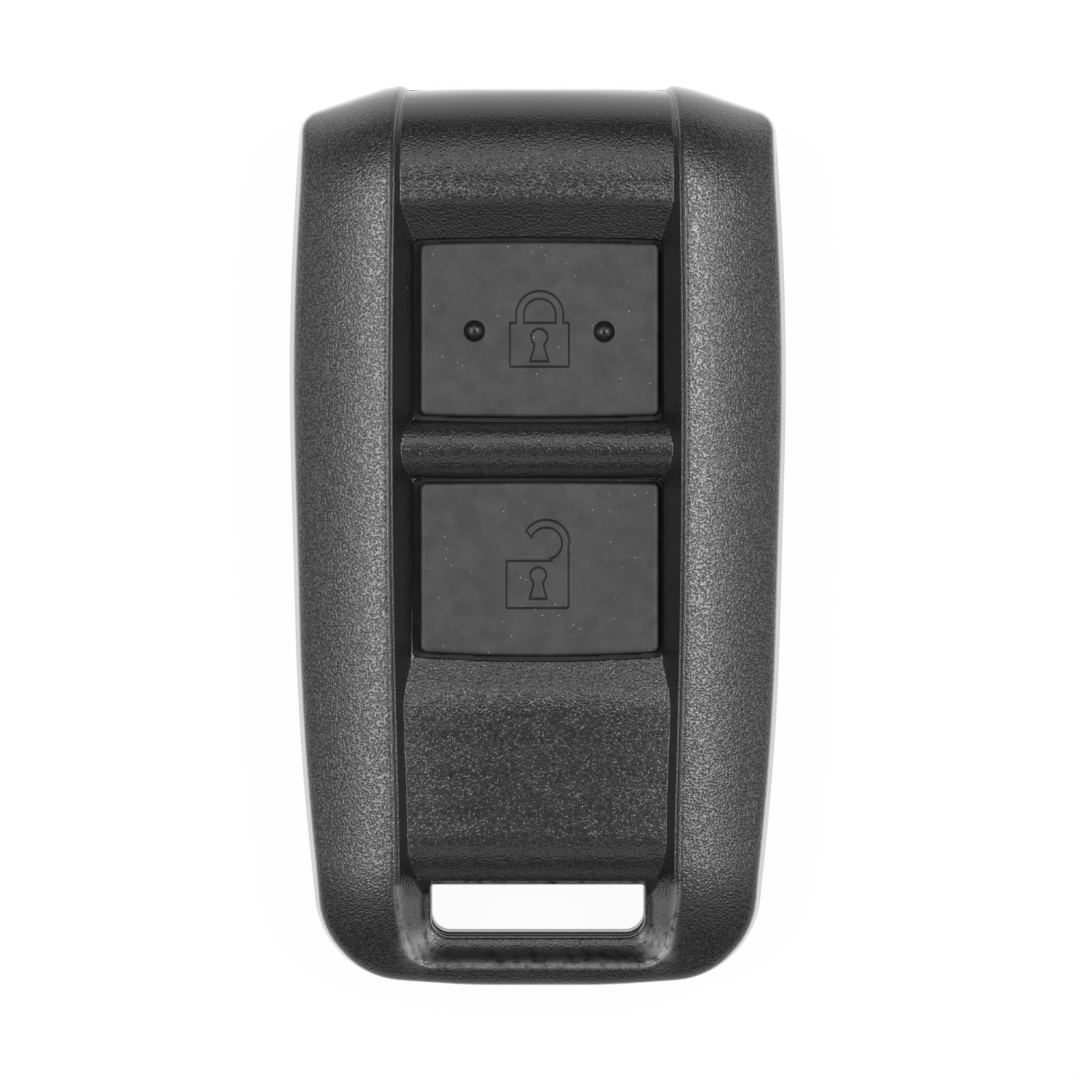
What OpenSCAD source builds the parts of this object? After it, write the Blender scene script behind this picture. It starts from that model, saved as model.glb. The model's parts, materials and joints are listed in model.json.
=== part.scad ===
// Two-button car key fob lying on its back, with a spare key that draws out of the top end.
// Millimetres. +X is right, +Y is the top end, +Z goes up through the buttons.
// The origin is the middle of the back face.

/* [Body] */
// Length from the wing peaks to the bottom rim
body_length = 78; // [76:0.5:86]
// Width across the parting line at its widest place
body_width = 42.9; // [42:0.1:48]
// Height of the wing crests above the back face
body_height = 15.5; // [15.2:0.1:17]
// Height of the parting line between the two covers, as a share of the height
parting_share = 0.42; // [0.4:0.005:0.46]
// How far the side walls lean in above the parting line
side_draft = 0.45; // [0.2:0.05:0.8]
// Depth of the rounded top end
end_depth = 8.6; // [7:0.2:11]
// Radius of the crown across each wing
wing_radius = 14.8; // [14:0.2:20]
// Radius of the crown along the wings
crest_radius = 650; // [400:10:1200]
// Radius of the turn of the wings down to the bottom rim
foot_radius = 16; // [12:0.5:30]
// Step of the rear cover back from the front cover's edge
rear_step = 0.12; // [0.05:0.01:0.25]
// Thickness of the cover walls
wall = 2.4; // [2:0.1:2.8]
// Thickness of the rear floor
rear_floor = 1.6; // [1.2:0.1:1.8]

/* [Channel] */
// Half width of the channel at button level
channel_half = 10.67; // [10:0.05:11.2]
// Depth of the button level below the wing crests
channel_depth = 2.9; // [2.4:0.1:3.2]
// Lean of the channel walls, width for each unit of height
wall_lean = 0.7; // [0.4:0.05:0.9]
// Height of the top panel above button level
top_panel_rise = 1.7; // [1.2:0.1:2]
// Height of the lower panel above button level at its upper edge
low_panel_rise = 1.04; // [0.6:0.05:1.4]
// Fall of the lower panel towards the key-ring slot
low_panel_fall = 0.7; // [0:0.05:0.9]
// Height of the cross bar above button level
bar_rise = 1.47; // [0.8:0.05:1.8]
// Thickness of the roof at button level
roof = 1.4; // [1.2:0.1:1.5]

/* [Buttons] */
// Gap around each button
button_gap = 0.38; // [0.25:0.01:0.6]
// Height of the button faces above button level
button_rise = 0.2; // [0:0.05:0.5]
// Travel of a button
press_travel = 0.4; // [0.2:0.05:0.5]
// Thickness of the button flanges and of the keypad web
web_thickness = 0.8; // [0.6:0.05:1]
// Width of the flange past the window edge
flange_lap = 0.8; // [0.6:0.1:1.2]
// Radius of the touch dots at their foot
dot_radius = 0.9; // [0.7:0.01:1.2]
// Height of the touch dots
dot_height = 0.65; // [0.3:0.05:0.8]

/* [Key ring slot] */
// Width of the slot
slot_width = 18.4; // [16:0.2:19]
// Height of the slot through the rear cover
slot_height = 4.16; // [4.1:0.02:4.6]
// Distance of the lower slot edge from the bottom rim
slot_margin = 4.7; // [4.2:0.1:5.4]
// Step of the front cover back from the rear lip
lip_step = 0.35; // [0.1:0.05:0.5]

/* [Inside] */
// Thickness of the circuit board
board_thickness = 1; // [0.8:0.1:1.2]
// Diameter of the coin cell
cell_diameter = 20; // [16:0.5:20]
// Height of the coin cell
cell_height = 3.2; // [2.5:0.1:3.2]
// Clearance between pieces that are fitted together
fit_gap = 0.15; // [0.1:0.01:0.25]
// Clearance around the spare key
key_gap = 0.25; // [0.2:0.01:0.4]
// Width of the spare key blade
blade_width = 7; // [6:0.1:7.2]
// Thickness of the spare key blade
blade_thickness = 2.2; // [1.8:0.1:2.4]

/* [Hidden] */
$fn = 64;
half_length = body_length / 2;
half_width = body_width / 2;
parting_height = body_height * parting_share;
deck_z = body_height - channel_depth;
ceiling_z = deck_z - roof;
flange_z = ceiling_z - web_thickness;
plunger_z = flange_z - press_travel;
switch_z = plunger_z - press_travel;
board_z = parting_height + 0.5;
board_top = board_z + board_thickness;
shelf_z = parting_height - 0.5;
wing_axis = half_width * 0.471;
crest_y = half_length * 0.385;
foot_y = -half_length * 0.718;
shoulder_fall = wing_radius - sqrt(pow(wing_radius, 2) - pow(channel_half + 2 - wing_axis, 2));
crown_z = body_height + shoulder_fall;

// Lengthwise stations, each tied to the length
panel_y = half_length * 0.736;
window_top = half_length * 0.653;
bar_top = half_length * 0.2512;
bar_bottom = half_length * 0.1241;
window_bottom = -half_length * 0.2754;
low_panel_y = -half_length * 0.36;
curl_y = -half_length * 0.672;
slot_bottom = -half_length + slot_margin;
slot_top = slot_bottom + slot_height;
cavity_top = half_length * 0.756;
cavity_bottom = slot_top + 2.3;
bar_half = (bar_top - bar_bottom) / 2;
bar_radius = (pow(bar_half, 2) + pow(bar_rise, 2)) / (2 * bar_rise);

// Spare key and coin cell side by side under the board
cell_x = -half_width * 0.25;
cell_y = half_length * 0.077;
strip = 0.3;
cell_z = rear_floor + strip;
cradle_radius = cell_diameter / 2 + 0.25;
key_x = half_width * 0.517;
key_z = rear_floor;
key_bottom = -half_length * 0.41;
head_bottom = cavity_top + 1.3;
head_half = blade_width / 2 + 2;
tunnel_half = blade_width / 2 + 0.4;

// Corners of the right half of the outline: x, y, radius, steps round it, steps to the next one
corners = [
    [half_width * 0.578, half_length, 4, 3, 3],
    [half_width * 0.958, half_length * 0.929, 2.3, 6, 2],
    [half_width * 1.0117, half_length * 0.4615, 250, 6, 3],
    [half_width * 0.967, -half_length * 0.436, 250, 4, 3],
    [half_width * 0.868, -half_length * 0.978, 7.9, 10, 2],
    [half_width * 0.28, -half_length, 60, 3, 0]
];

function unit(v) = v / norm(v);

// Direction into the body from an edge that runs clockwise
function inward(a, b) = let (d = unit(b - a)) [d.y, -d.x];

function inset_corner(a, p, b, d) =
    let (m = inward(a, p), n = inward(p, b)) p + d * (m + n) / (1 + m * n);

// Points of the arc of radius r that rounds the corner p between a and b
function corner_arc(a, p, b, r, steps) =
    let (
        u = unit(a - p),
        v = unit(b - p),
        half = acos(u * v) / 2,
        centre = p + unit(u + v) * r / sin(half),
        from = p + u * r / tan(half) - centre,
        turn = (180 - 2 * half) * sign(u.y * v.x - u.x * v.y)
    )
    [for (i = [0:steps]) let (t = turn * i / steps)
        centre + [from.x * cos(t) - from.y * sin(t), from.x * sin(t) + from.y * cos(t)]];

// Right half of the outline, moved in by d, from the top edge round to the bottom edge
function half_outline(d) =
    let (
        last = len(corners) - 1,
        raw = concat([[0, half_length]], [for (c = corners) [c.x, c.y]], [[0, -half_length]]),
        moved = concat([[0, half_length - d]],
            [for (i = [0:last]) inset_corner(raw[i], raw[i + 1], raw[i + 2], d)], [[0, d - half_length]]),
        arcs = [for (i = [0:last])
            corner_arc(moved[i], moved[i + 1], moved[i + 2], max(0.4, corners[i][2] - d), corners[i][3])]
    )
    [for (i = [0:last]) each i == last ? arcs[i] :
        concat(arcs[i], run(arcs[i], arcs[i + 1][0], corners[i][4]))];

// Points between the end of an arc and the next point, both left out
function run(arc, next, steps) =
    let (start = arc[len(arc) - 1])
    [for (i = [1:1:steps - 1]) start + (next - start) * i / steps];

function outline(d) =
    let (h = half_outline(d))
    concat(h, [for (i = [len(h) - 1:-1:0]) [-h[i].x, h[i].y]]);

// Height of the uncut front surface
function end_share(d) = d >= end_depth ? 1 : sqrt(1 - pow(1 - max(d, 0.02) / end_depth, 2));

function end_distance(x, y) =
    let (
        a = [corners[0].x, corners[0].y],
        n = inward(a, [corners[1].x, corners[1].y])
    )
    min(half_length - y, ([abs(x), y] - a) * n);

function wing_fall(x) =
    let (s = min(max(0, abs(x) - wing_axis), wing_radius * 0.95))
    wing_radius - sqrt(wing_radius * wing_radius - s * s);

function foot_fall(y) = pow(max(0, foot_y - y), 2) / (2 * foot_radius);

function crown(x, y) =
    crown_z - pow(y - crest_y, 2) / (2 * crest_radius) - wing_fall(x) - foot_fall(y);

function front_z(x, y) =
    parting_height + (crown(x, y) - parting_height) * end_share(end_distance(x, y));

// Closed skin through rings of equal length that mirror across x = 0
module skin(rings) {
    n = len(rings[0]);
    last = (len(rings) - 1) * n;
    sides = [for (k = [0:len(rings) - 2]) for (i = [0:n - 1]) let (j = (i + 1) % n, a = k * n, b = a + n)
        each [[a + i, a + j, b + i], [a + j, b + j, b + i]]];
    upper = [for (i = [0:n / 2 - 2]) [last + i, last + i + 1, last + n - 2 - i, last + n - 1 - i]];
    lower = [for (i = [n - 1:-1:0]) i];
    polyhedron([for (r = rings) each r], concat([lower], sides, upper), convexity = 8);
}

// Uncut front half: leaning side walls, a small edge radius, then the crowned top
module front_form() {
    steps = [[0, 0], [0.45, 0.4], [0.9, 0.74], [1.35, 0.9], [2.1, 0.975], [3.4, 1],
        [6, 1], [9.5, 1], [14, 1], [19, 1]];
    skin([for (s = steps) [for (p = outline(s[0] * side_draft))
        [p.x, p.y, parting_height + (front_z(p.x, p.y) - parting_height) * s[1]]]]);
}

// Uncut rear half: a rounded edge into the flat back, a little inside the front all round
module rear_form() {
    steps = [[3.4, 0], [2.5, 0.03], [1.6, 0.11], [0.85, 0.27], [0.35, 0.5], [0.1, 0.76], [0, 1]];
    last = len(steps) - 1;
    intersection() {
        mirror([0, 0, 1])
            skin([for (i = [last:-1:0])
                [for (p = outline(rear_step + steps[i][0])) [p.x, p.y, -parting_height * steps[i][1]]]]);
        translate([-half_width, -half_length, -1])
            cube([body_width, half_length + end_y - 0.1, parting_height + 2]);
    }
}

// Stations of the channel floor from the bottom up: y, z, lean of the section towards the top end
function low_panel_z(y) =
    deck_z + low_panel_rise - low_panel_fall * (low_panel_y - y) / (low_panel_y - curl_y);

top_z = deck_z + top_panel_rise;
end_y = half_length - 0.42;
end_start = end_y - end_depth * 0.97;
end_rise = top_z - parting_height;
curl_turn = 60;
curl_radius = (curl_y - slot_top) / sin(curl_turn);
floor_path = concat(
    [for (i = [6:-1:0]) let (t = 1.15 * curl_turn * i / 6)
        [curl_y - curl_radius * sin(t), low_panel_z(curl_y) - curl_radius * (1 - cos(t)), 0]],
    [for (i = [1:3]) let (y = curl_y + (low_panel_y - 0.6 - curl_y) * i / 3) [y, low_panel_z(y), 0]],
    [[low_panel_y + 0.5, deck_z + low_panel_rise * 0.86, 0]],
    [[window_bottom, deck_z, 0]],
    [[bar_bottom, deck_z, 0]],
    [for (i = [1:9]) let (y = bar_bottom + bar_half * (1 - cos(18 * i)), s = bar_half * cos(18 * i))
        [y, deck_z + bar_rise - bar_radius + sqrt(bar_radius * bar_radius - s * s), 0]],
    [[bar_top, deck_z, 0]],
    [[window_top, deck_z, 0]],
    [[panel_y - 0.5, top_z - 0.32, 0], [panel_y - 0.05, top_z - 0.09, 0], [panel_y + 0.45, top_z, 0]],
    [for (i = [0:10]) let (t = 8.6 * i)
        [end_start + (end_y - end_start) * sin(t), top_z - end_rise * (1 - cos(t)), t]]
);

// Half width of the floor at a station; the walls open a little round the slot
function floor_half(s) =
    let (open = 0.0025 * pow(max(0, curl_y + 5 - s[0]), 2))
    s[2] > 0 ? channel_half + wall_lean * top_panel_rise - 0.6 * pow(s[2] / 86, 3) :
    channel_half + open + wall_lean * (s[1] - deck_z);

module channel_space() {
    rise = 6;
    count = len(floor_path);
    points = [for (s = floor_path)
        let (
            w = floor_half(s),
            v = w + wall_lean * rise,
            y = s[0] + rise * sin(s[2]),
            z = s[1] + rise * cos(s[2])
        )
        each [[w, s[0], s[1]], [-w, s[0], s[1]], [-v, y, z], [v, y, z]]];
    sides = [for (k = [0:count - 2]) for (i = [0:3]) let (j = (i + 1) % 4, a = 4 * k, b = a + 4)
        each [[a + i, b + i, a + j], [a + j, b + i, b + j]]];
    ends = [[0, 1, 2, 3], [for (i = [3:-1:0]) 4 * count - 4 + i]];
    polyhedron(points, concat(sides, ends), convexity = 6);
}

// Bevelled bowl round the sides and the lower edge of the slot
bowl_z = parting_height + 2.2;
module bowl_space() {
    half = slot_width / 2;
    top = slot_top - 0.2;
    hull()
        for (rise = [0, body_height - bowl_z + 0.5]) {
            low = slot_bottom - lip_step - 1.15 - 0.7 * rise;
            width = 2 * (half + 0.4 + 0.47 * rise);
            radius = 1.2 + 0.4 * rise;
            translate([0, 0, bowl_z + rise])
                linear_extrude(0.01) {
                    translate([0, (low + top) / 2])
                        rounded_square(width, top - low, radius, $fn = 32);
                    translate([-width / 2, low + radius])
                        square([width, top - low - radius]);
                }
        }
}

module rounded_square(width, height, radius) {
    square([width - 2 * radius, height], center = true);
    square([width, height - 2 * radius], center = true);
    for (x = [-1, 1], y = [-1, 1])
        translate([x * (width / 2 - radius), y * (height / 2 - radius)])
            circle(radius);
}

// Plate with rounded corners between two lengthwise stations
module plate(half, bottom, top, z0, z1, radius) {
    translate([0, (bottom + top) / 2, z0])
        linear_extrude(z1 - z0)
            rounded_square(2 * half, top - bottom, radius);
}

// Slot outline: small upper corners, large lower corners
module slot_space(bottom, z0, z1) {
    lower = 1.6;
    half = slot_width / 2;
    translate([0, 0, z0])
        linear_extrude(z1 - z0) {
            translate([-half, bottom + lower])
                square([slot_width, slot_top - bottom - lower]);
            translate([lower - half, bottom])
                square([slot_width - 2 * lower, slot_top - bottom]);
            for (x = [-1, 1])
                translate([x * (half - lower), bottom + lower])
                    circle(lower);
        }
}

// Room inside the covers, moved in from the outline
module room(inset, z0, z1, bottom = cavity_bottom, top = cavity_top) {
    translate([0, 0, z0])
        linear_extrude(z1 - z0)
            intersection() {
                polygon(outline(inset));
                translate([-half_width, bottom])
                    square([body_width, top - bottom]);
            }
}

// Tongue along both sides of the parting line, or the groove for it
module side_tongue(gap) {
    height = 1 + gap;
    difference() {
        room(wall - 1 - gap, parting_height - 0.01, parting_height + height,
            cavity_bottom + 4 - gap, cavity_top - 4.5 + gap);
        room(wall + 0.01, parting_height - 1, parting_height + 3, cavity_bottom - 2, cavity_top + 1);
    }
}

module front_cover() {
    color([0.16, 0.16, 0.17])
        difference() {
            front_form();
            channel_space();
            bowl_space();
            slot_space(slot_bottom - lip_step, parting_height - 1, body_height + 1);
            plate(channel_half, bar_top, window_top, ceiling_z - 1, deck_z + 1, 0.5);
            plate(channel_half, window_bottom, bar_bottom, ceiling_z - 1, deck_z + 1, 0.5);
            room(wall, parting_height - 1, ceiling_z);
            side_tongue(fit_gap);
        }
}

// Space in the rear cover for the spare key head, or the head's own block
module head_block(gap) {
    translate([key_x - head_half - gap, head_bottom - gap, -1])
        cube([2 * (head_half + gap), half_length, parting_height + 1 + gap]);
}

module rear_cover() {
    color([0.14, 0.14, 0.15])
        difference() {
            union() {
                difference() {
                    rear_form();
                    room(wall + 2.2, rear_floor, parting_height + 1);
                    room(wall, shelf_z, parting_height + 1);
                }
                side_tongue(0);
                cell_cradle();
                key_tunnel();
            }
            head_block(key_gap);
            blade_space();
            slot_space(slot_bottom, -1, parting_height + 1);
            translate([0, 0, -0.01])
                slot_bevel();
        }
}

// Bevel round the slot on the back face
module slot_bevel() {
    middle = (slot_top + slot_bottom) / 2;
    translate([0, middle, 0])
        hull() {
            linear_extrude(0.01)
                rounded_square(slot_width + 2.4, slot_height + 2.4, 2.6, $fn = 32);
            translate([0, 0, 1.3])
                linear_extrude(0.01)
                    rounded_square(slot_width, slot_height, 1.6, $fn = 32);
        }
}

// Ring that keeps the coin cell in place, open where the contact reaches it
module cell_cradle() {
    translate([cell_x, cell_y, rear_floor - 0.2])
        difference() {
            cylinder(h = 2.6, r = cradle_radius + 1.1);
            translate([0, 0, -1])
                cylinder(h = 5, r = cradle_radius);
            translate([-3.2, -20, -1])
                cube([6.4, 40, 5]);
        }
}

// Two rails that guide the spare key blade
module key_tunnel() {
    for (x = [-1, 1])
        translate([key_x + x * (tunnel_half + 0.5) - 0.5, key_bottom - 1.4, rear_floor - 0.2])
            cube([1, cavity_top - key_bottom + 2, blade_thickness + 0.9]);
}

module blade_space() {
    translate([key_x - tunnel_half, cavity_top - 1, key_z])
        cube([2 * tunnel_half, 4, blade_thickness + key_gap]);
}

// Button with its flange under the roof and the post that works the switch
module button(bottom, top) {
    middle = (bottom + top) / 2;
    width = 2 * (channel_half - button_gap);
    height = top - bottom - 2 * button_gap;
    face_z = deck_z + button_rise;
    edge = 0.25;
    hull() {
        translate([0, middle, flange_z + 0.1])
            linear_extrude(face_z - edge - flange_z - 0.1)
                rounded_square(width, height, 0.55, $fn = 32);
        translate([0, middle, face_z - edge])
            linear_extrude(edge * 0.6)
                rounded_square(width - 0.6 * edge, height - 0.6 * edge, 0.5, $fn = 32);
        translate([0, middle, face_z - edge])
            linear_extrude(edge)
                rounded_square(width - 2 * edge, height - 2 * edge, 0.4, $fn = 32);
    }
    plate(channel_half + flange_lap, bottom - flange_lap, top + flange_lap, flange_z, ceiling_z, 1.2);
    translate([0, middle, plunger_z])
        cylinder(h = press_travel + 0.2, r = 1.6);
}

module lock_button() {
    ball = (dot_radius * dot_radius + dot_height * dot_height) / (2 * dot_height);
    color([0.33, 0.33, 0.34]) {
        button(bar_top, window_top);
        for (x = [-1, 1])
            translate([x * channel_half * 0.521, (bar_top + window_top) / 2 - 0.06, deck_z + button_rise])
                intersection() {
                    translate([0, 0, dot_height - ball])
                        sphere(ball);
                    translate([0, 0, -0.2])
                        cylinder(h = 2, r = dot_radius * 1.05);
                }
    }
}

module unlock_button() {
    color([0.33, 0.33, 0.34])
        button(window_bottom, bar_bottom);
}

web_edge = 4.8;

// Silicone sheet clamped between the roof and the tray
module keypad_web() {
    margin = flange_lap + 0.3;
    half = channel_half + margin;
    z0 = flange_z - 1;
    z1 = ceiling_z + 1;
    color([0.25, 0.25, 0.27])
        difference() {
            plate(half + web_edge, window_bottom - web_edge, window_top + web_edge / 2,
                flange_z, ceiling_z, 1.5);
            plate(half, bar_top - margin, window_top + margin, z0, z1, 1.4);
            plate(half, window_bottom - margin, bar_bottom + margin, z0, z1, 1.4);
        }
}

board_half = half_width - wall - 3.4;
board_low = cavity_bottom + 1.1;
board_high = cavity_top - 1.1;

// Frame on the rear shelf, with a ledge under the board
module inner_tray() {
    color([0.75, 0.75, 0.72])
        difference() {
            room(wall + fit_gap, shelf_z, flange_z, cavity_bottom + fit_gap, cavity_top - fit_gap);
            plate(board_half + fit_gap, board_low - fit_gap, board_high + fit_gap, board_z,
                flange_z + 1, 0.8);
            plate(board_half - 1.2, board_low + 1, board_high - 1, shelf_z - 1, board_z + 1, 0.8);
        }
}

module circuit_board() {
    color([0.1, 0.36, 0.2])
        difference() {
            plate(board_half, board_low, board_high, board_z, board_top, 0.6);
            for (x = [-1, 1])
                translate([x * (board_half - 2.2), board_high - 2.2, board_z - 1])
                    cylinder(h = board_thickness + 2, r = 0.8);
        }
}

lock_y = (bar_top + window_top) / 2;
unlock_y = (window_bottom + bar_bottom) / 2;
switch_size = 6;
switch_plate = 0.25;
switch_well = (switch_z - board_top) / 4;
plunger_radius = 1.5;

// Switch body under its cover plate, with the well for the plunger and four soldered legs
module switch_body(y) {
    translate([0, y, board_top])
        difference() {
            translate([-switch_size / 2, -switch_size / 2, 0])
                cube([switch_size, switch_size, switch_z - board_top - switch_plate]);
            translate([0, 0, switch_well])
                cylinder(h = 4, r = plunger_radius + 0.5);
        }
    for (x = [-1, 1], s = [-1, 1])
        translate([x * (switch_size / 2 + 0.6) - 0.6, y + s * 2 - 0.4, board_top])
            cube([1.2, 0.8, 0.3]);
}

module switch_cover(y) {
    translate([0, y, switch_z - switch_plate])
        difference() {
            translate([-switch_size / 2, -switch_size / 2, 0])
                cube([switch_size, switch_size, switch_plate]);
            translate([0, 0, -1])
                cylinder(h = 3, r = plunger_radius + 0.3);
        }
}

module switch_plunger(y) {
    foot = board_top + switch_well + press_travel + 0.1;
    translate([0, y, foot])
        cylinder(h = plunger_z - foot, r = plunger_radius);
}

module lock_switch() {
    color([0.12, 0.12, 0.12])
        switch_body(lock_y);
}

module lock_switch_cover() {
    color([0.75, 0.75, 0.77])
        switch_cover(lock_y);
}

module lock_plunger() {
    color([0.85, 0.8, 0.7])
        switch_plunger(lock_y);
}

module unlock_switch() {
    color([0.12, 0.12, 0.12])
        switch_body(unlock_y);
}

module unlock_switch_cover() {
    color([0.75, 0.75, 0.77])
        switch_cover(unlock_y);
}

module unlock_plunger() {
    color([0.85, 0.8, 0.7])
        switch_plunger(unlock_y);
}

// Can below, narrower cap above, with the seal step between
module coin_cell() {
    r = cell_diameter / 2;
    color([0.78, 0.78, 0.8])
        translate([cell_x, cell_y, cell_z])
            rotate_extrude()
                polygon([[0, 0], [r - 0.4, 0], [r, 0.4], [r, cell_height - 0.6],
                    [r - 0.4, cell_height - 0.3], [r - 1.1, cell_height - 0.3],
                    [r - 1.4, cell_height], [0, cell_height]]);
}

// Strip from the board down beside the can, then under it
module positive_contact() {
    r = cell_diameter / 2;
    color([0.85, 0.74, 0.45])
        translate([cell_x - 2.2, cell_y + r, 0]) {
            translate([0, 0, rear_floor])
                cube([4.4, strip, board_z - rear_floor]);
            translate([0, 0, board_z - strip])
                cube([4.4, 3, strip]);
            translate([0, 0.1 - 1.8 * r, rear_floor])
                cube([4.4, 1.8 * r, strip]);
        }
}

// Leaf from the board down to the middle of the cap
module negative_contact() {
    cap_z = cell_z + cell_height;
    foot_z = board_z - strip;
    r = cell_diameter / 2;
    width = r * 0.4;
    color([0.85, 0.74, 0.45])
        translate([cell_x + width / 2, cell_y - r * 0.85, 0])
            rotate([90, 0, -90])
                linear_extrude(width)
                    polygon([[-r * 0.95, cap_z], [-r * 0.7, cap_z], [-r * 0.3, foot_z], [0, foot_z],
                        [0, board_z], [-r * 0.32, board_z], [-r * 0.72, cap_z + strip],
                        [-r * 0.95, cap_z + strip]]);
}

// Chips in a row between the two switches
chip_y = (lock_y + unlock_y) / 2;

// Flat package on the board
module chip(x, y, width, height, thick) {
    translate([x - width / 2, y - height / 2, board_top])
        cube([width, height, thick]);
}

module controller_chip() {
    color([0.08, 0.08, 0.09])
        chip(-board_half * 0.486, chip_y, 7, 7, 1);
}

module radio_chip() {
    color([0.08, 0.08, 0.09])
        chip(board_half * 0.473, chip_y, 5, 5, 0.9);
}

module crystal() {
    color([0.8, 0.8, 0.78])
        chip(board_half - 2.9, chip_y, 2.5, 3.2, 0.8);
}

module capacitors() {
    color([0.62, 0.5, 0.36])
        for (i = [0:5])
            chip(board_half * (0.256 * i - 0.64), unlock_y - switch_size - 0.4, 0.8, 1.6, 0.8);
}

coil_y = (window_bottom - web_edge / 2 + cavity_bottom) / 2;
coil_size = 8;
coil_height = min(2.8, ceiling_z - board_top - 0.3);

// Ferrite core with a waist, and the winding round the waist
module coil_core() {
    color([0.22, 0.22, 0.24]) {
        chip(0, coil_y, coil_size - 2.4, coil_size - 2.4, coil_height);
        for (x = [-1, 1], y = [-1, 1])
            chip(x * (coil_size / 2 - 1), coil_y + y * (coil_size / 2 - 1), 2, 2, coil_height);
    }
}

module coil_winding() {
    color([0.72, 0.4, 0.2])
        for (t = [0:90:270])
            translate([0, coil_y, board_top + 0.3])
                rotate([0, 0, t])
                    translate([-(coil_size / 2 - 2), coil_size / 2 - 1.2, 0])
                        cube([coil_size - 4, 0.9, coil_height - 0.6]);
}

// Bent wire over the upper end of the board
module antenna_loop() {
    wire = 0.5;
    span = board_half - 3.4;
    y = board_high - 1.4;
    rise = (flange_z - board_top) / 2;
    color([0.78, 0.76, 0.7]) {
        translate([-span, y, board_top + rise])
            rotate([0, 90, 0])
                cylinder(h = 2 * span, r = wire);
        for (x = [-1, 1])
            translate([x * span, y, board_top])
                cylinder(h = rise + wire, r = wire);
    }
}

// Uncut blade with a groove along both faces and a chamfered tip
module key_blade() {
    half = blade_width / 2;
    tip = key_bottom + 3;
    color([0.72, 0.72, 0.73])
        difference() {
            translate([key_x, 0, key_z])
                linear_extrude(blade_thickness)
                    polygon([[-half, tip], [-half + 2.4, key_bottom], [half - 2.4, key_bottom], [half, tip],
                        [half, head_bottom + 4], [-half, head_bottom + 4]]);
            for (z = [key_z - 1, key_z + blade_thickness - 0.55])
                translate([key_x - 1.1, key_bottom - 1, z])
                    cube([2.2, head_bottom - key_bottom, 1.55]);
        }
}

// Head flush with the rear cover, with finger grooves in the back and a pocket for the blade
module key_head() {
    color([0.14, 0.14, 0.15])
        difference() {
            intersection() {
                rear_form();
                head_block(0);
            }
            translate([key_x - blade_width / 2, head_bottom - 1, key_z])
                cube([blade_width, 5, blade_thickness]);
            for (i = [0:2])
                translate([key_x - head_half - 1, head_bottom + 2.2 + 1.8 * i, -0.35])
                    rotate([0, 90, 0])
                        cylinder(h = 2 * head_half + 2, r = 0.7);
        }
}

// Bowed leaf between the left rail and the blade
module key_spring() {
    thick = 0.2;
    bow = 0.12;
    reach = 4.5;
    r = (reach * reach + bow * bow) / (2 * bow);
    color([0.75, 0.75, 0.77])
        translate([key_x - tunnel_half + bow + thick - r, cavity_top - 12, rear_floor])
            linear_extrude(blade_thickness)
                intersection() {
                    difference() {
                        circle(r, $fn = 720);
                        circle(r - thick, $fn = 720);
                    }
                    translate([0, -reach])
                        square([r + 1, 2 * reach]);
                }
}

front_cover();
rear_cover();
lock_button();
unlock_button();
keypad_web();
inner_tray();
circuit_board();
lock_switch();
lock_switch_cover();
lock_plunger();
unlock_switch();
unlock_switch_cover();
unlock_plunger();
coin_cell();
positive_contact();
negative_contact();
controller_chip();
radio_chip();
crystal();
capacitors();
coil_core();
coil_winding();
antenna_loop();
key_blade();
key_head();
key_spring();
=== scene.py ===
"""Looks of the two-button car key fob: moulded covers, rubber buttons with engraved signs, light, camera.

The visible pieces are solids given by signed fields (millimetres, negative inside). Each field is meshed
on a grid that is fine where edges are, and its vertices are drawn onto the field, so every moulded edge
has its radius.
"""
import json
import math

import bpy
import numpy as np
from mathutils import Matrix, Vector


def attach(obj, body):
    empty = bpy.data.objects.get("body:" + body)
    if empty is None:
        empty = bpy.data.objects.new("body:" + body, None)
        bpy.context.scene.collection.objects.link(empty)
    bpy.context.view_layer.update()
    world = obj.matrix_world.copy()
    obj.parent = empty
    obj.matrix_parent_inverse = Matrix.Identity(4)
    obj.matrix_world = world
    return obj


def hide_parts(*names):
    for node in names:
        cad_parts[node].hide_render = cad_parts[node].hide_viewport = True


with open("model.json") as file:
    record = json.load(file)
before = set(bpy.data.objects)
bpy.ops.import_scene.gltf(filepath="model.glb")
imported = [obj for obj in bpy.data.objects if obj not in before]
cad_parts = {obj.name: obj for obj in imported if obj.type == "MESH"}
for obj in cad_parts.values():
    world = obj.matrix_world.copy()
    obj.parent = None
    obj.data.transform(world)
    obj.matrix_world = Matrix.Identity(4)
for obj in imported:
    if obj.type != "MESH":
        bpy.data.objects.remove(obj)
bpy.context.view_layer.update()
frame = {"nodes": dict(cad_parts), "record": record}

MM = 0.001

# Sizes of the fob in millimetres
HALF_LENGTH, PARTING = 39.0, 6.51
CREST_Z, CREST_Y, CREST_RADIUS = 15.73, 15.0, 650.0
WING_AXIS, WING_RADIUS = 10.1, 14.8
END_DEPTH, FOOT_Y, FOOT_RADIUS = 8.6, -28.0, 16.0
DRAFT, DRAFT_HEIGHT = 0.5, 4.2
REAR_STEP, REAR_FLOOR, REAR_EDGE, REAR_POWER, SHELF = 0.12, 1.6, 3.4, 2.2, 6.0
DECK, CEILING, WALL = 12.6, 11.2, 2.4
ROOM_LOW, ROOM_HIGH = -27.84, 29.48
CHANNEL, LEAN, CHANNEL_TAPER, CHANNEL_SHIFT = 10.67, 0.66, 0.0045, 0.07
TOP_PANEL, PANEL_Y = 14.3, 28.7
END_Y, END_ARCH, END_LAG = 38.58, 0.25, 0.12
END_START = END_Y - END_DEPTH * 0.97
WINDOWS = {"lock": (9.62, 25.47), "unlock": (-10.88, 4.84)}
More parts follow.
